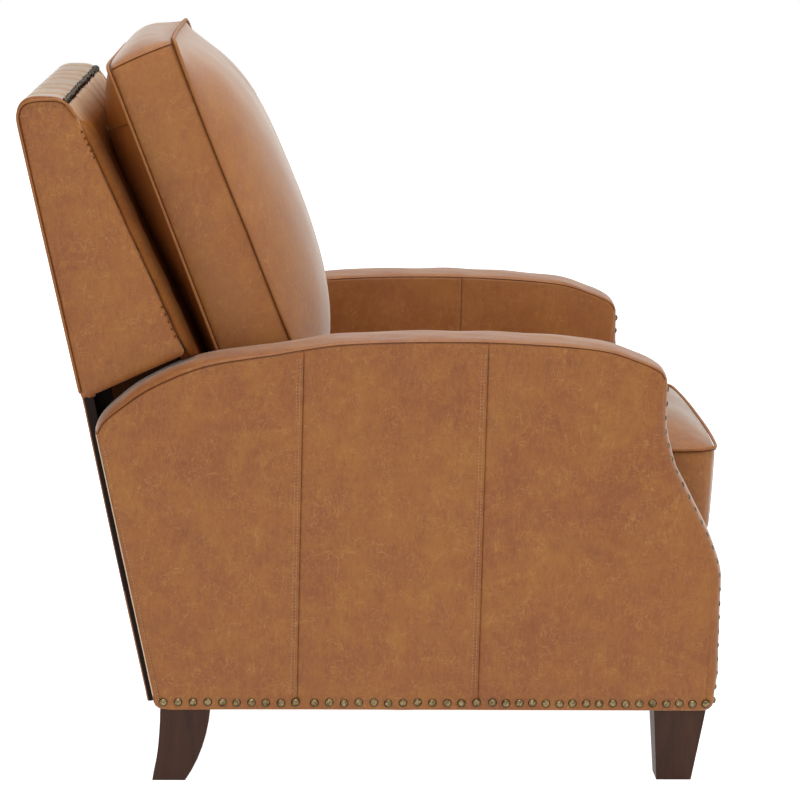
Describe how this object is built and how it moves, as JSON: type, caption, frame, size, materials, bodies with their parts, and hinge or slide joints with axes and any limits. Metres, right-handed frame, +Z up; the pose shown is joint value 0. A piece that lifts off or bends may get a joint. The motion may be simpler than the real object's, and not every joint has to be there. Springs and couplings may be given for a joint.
{
  "type": "push-back recliner",
  "caption": "Leather push-back recliner with high tapered legs, scroll-front arms, box cushions and a footrest that folds under the seat nose.",
  "frame": {"origin": "on the floor, at the centre of the chair's outer box", "axes": "+X towards the front of the chair, +Y towards the sitter's left, +Z up"},
  "size_m": [0.9993, 0.74, 1.0502],
  "materials": {
    "leather": "distressed aniline leather in mottled cognac brown with a soft low sheen",
    "walnut": "dark walnut stain under satin lacquer",
    "frame_timber": "sawn hardwood, unfinished",
    "mechanism_steel": "black powder-coated stamped steel",
    "spring_wire": "drawn spring wire, lightly oiled"
  },
  "bodies": {
    "base": {"left_arm_cover": "leather", "right_arm_cover": "leather", "left_arm_frame": "frame_timber", "right_arm_frame": "frame_timber", "front_left_leg": "walnut", "front_right_leg": "walnut", "rear_left_leg": "walnut", "rear_right_leg": "walnut", "front_rail": "frame_timber", "rear_rail": "frame_timber", "rear_flap": "leather", "left_base_plate": "mechanism_steel", "right_base_plate": "mechanism_steel"},
    "front_swing": {"left_swing_link_front": "mechanism_steel", "right_swing_link_front": "mechanism_steel"},
    "rear_swing": {"left_swing_link_rear": "mechanism_steel", "right_swing_link_rear": "mechanism_steel"},
    "seat": {"left_seat_plate": "mechanism_steel", "right_seat_plate": "mechanism_steel", "seat_rail_front": "frame_timber", "seat_rail_rear": "frame_timber", "seat_rail_left": "frame_timber", "seat_rail_right": "frame_timber", "seat_spring_1": "spring_wire", "seat_spring_2": "spring_wire", "seat_spring_3": "spring_wire", "seat_spring_4": "spring_wire", "seat_spring_5": "spring_wire", "seat_cushion": "leather"},
    "back": {"back_shell": "leather", "inside_back": "leather", "back_post_left": "frame_timber", "back_post_right": "frame_timber", "back_rail_top": "frame_timber", "back_rail_middle": "frame_timber", "back_rail_bottom": "frame_timber", "back_cushion": "leather", "left_back_bracket": "mechanism_steel", "right_back_bracket": "mechanism_steel"},
    "footrest_drive": {"left_drive_link": "mechanism_steel", "right_drive_link": "mechanism_steel", "torque_tube": "mechanism_steel"},
    "lower_links": {"left_lower_link": "mechanism_steel", "right_lower_link": "mechanism_steel"},
    "upper_links": {"left_upper_link": "mechanism_steel", "right_upper_link": "mechanism_steel"},
    "guide_links": {"left_guide_link": "mechanism_steel", "right_guide_link": "mechanism_steel"},
    "footrest": {"footrest_board": "frame_timber", "footrest_pad": "leather", "left_footrest_bracket": "mechanism_steel", "right_footrest_bracket": "mechanism_steel"}
  },
  "joints": [
    {"name": "recline", "type": "hinge", "parent": "seat", "child": "back", "pos_m": [-0.248, 0, 0.305], "axis": [0, -1, 0], "range_deg": [0, 30], "deforming": ["rear_flap"]},
    {"name": "front_swing", "type": "hinge", "parent": "base", "child": "front_swing", "pos_m": [0.1391, 0, 0.17967], "axis": [0, 1, 0], "range_deg": [0, 20.1]},
    {"name": "rear_swing", "type": "hinge", "parent": "base", "child": "rear_swing", "pos_m": [-0.1509, 0, 0.17967], "axis": [0, 1, 0], "range_deg": [0, 20.1]},
    {"name": "seat_level", "type": "hinge", "parent": "front_swing", "child": "seat", "pos_m": [0.12, 0, 0.288], "axis": [0, -1, 0], "range_deg": [0, 20.1]},
    {"name": "drive", "type": "hinge", "parent": "seat", "child": "footrest_drive", "pos_m": [0.3407, 0, 0.2747], "axis": [0, -1, 0], "range_deg": [0, 98.5]},
    {"name": "lower", "type": "hinge", "parent": "seat", "child": "lower_links", "pos_m": [0.3847, 0, 0.292], "axis": [0, -1, 0], "range_deg": [0, 98.5]},
    {"name": "cross", "type": "hinge", "parent": "lower_links", "child": "upper_links", "pos_m": [0.30447, 0, 0.1717], "axis": [0, 1, 0], "range_deg": [0, 101.2]},
    {"name": "guide", "type": "hinge", "parent": "lower_links", "child": "guide_links", "pos_m": [0.32037, 0, 0.1431], "axis": [0, 1, 0], "range_deg": [0, 100]},
    {"name": "footrest", "type": "hinge", "parent": "upper_links", "child": "footrest", "pos_m": [0.38884, 0, 0.2922], "axis": [0, -1, 0], "range_deg": [0, 93]}
  ],
  "couplings": [
    {"joint": "front_swing", "follows": "recline", "ratio": 0.66667},
    {"joint": "rear_swing", "follows": "recline", "ratio": 0.66667},
    {"joint": "seat_level", "follows": "recline", "ratio": 0.66667},
    {"joint": "drive", "follows": "recline", "ratio": 3.2746},
    {"joint": "lower", "follows": "recline", "ratio": 3.2751},
    {"joint": "cross", "follows": "recline", "ratio": 3.3661},
    {"joint": "guide", "follows": "recline", "ratio": 3.3252},
    {"joint": "footrest", "follows": "recline", "ratio": 3.091}
  ]
}
